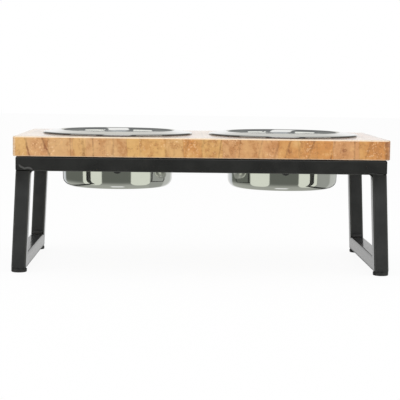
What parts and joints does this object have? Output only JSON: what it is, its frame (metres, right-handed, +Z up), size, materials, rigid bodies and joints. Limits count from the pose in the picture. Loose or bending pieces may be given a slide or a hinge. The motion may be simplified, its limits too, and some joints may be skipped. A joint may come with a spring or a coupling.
{
  "type": "raised pet bowl stand",
  "caption": "Low bench-like feeder: a wooden top with round holes holds lift-out flanged steel bowls, on a welded square-tube frame with splayed leg frames and glides.",
  "frame": {"origin": "on the floor, under the middle of the wooden top", "axes": "+X along the top to the right as seen from the front, +Y from the front to the back, +Z up"},
  "size_m": [0.4194, 0.2082, 0.155],
  "materials": {
    "wood": "clear satin lacquer on glued staves",
    "powder_coat": "satin black powder coat",
    "bowl_steel": "mirror-polished stainless steel",
    "foot": "matt black moulded plastic",
    "screw": "black-finished steel"
  },
  "bodies": {
    "stand": {"top_board": "wood", "front_rail": "powder_coat", "rear_rail": "powder_coat", "left_end_rail": "powder_coat", "right_end_rail": "powder_coat", "front_left_leg": "powder_coat", "front_right_leg": "powder_coat", "rear_left_leg": "powder_coat", "rear_right_leg": "powder_coat", "left_floor_rail": "powder_coat", "right_floor_rail": "powder_coat", "leg_top_welds": "powder_coat", "frame_corner_welds": "powder_coat", "floor_corner_welds": "powder_coat", "front_left_foot": "foot", "front_right_foot": "foot", "rear_left_foot": "foot", "rear_right_foot": "foot", "board_screws": "screw"},
    "left_bowl": {"left_bowl": "bowl_steel"},
    "right_bowl": {"right_bowl": "bowl_steel"}
  },
  "joints": [
    {"name": "left_bowl_lift", "type": "slide", "parent": "stand", "child": "left_bowl", "axis": [0, 0, 1], "range_m": [0, 0.075]},
    {"name": "right_bowl_lift", "type": "slide", "parent": "stand", "child": "right_bowl", "axis": [0, 0, 1], "range_m": [0, 0.075]}
  ]
}
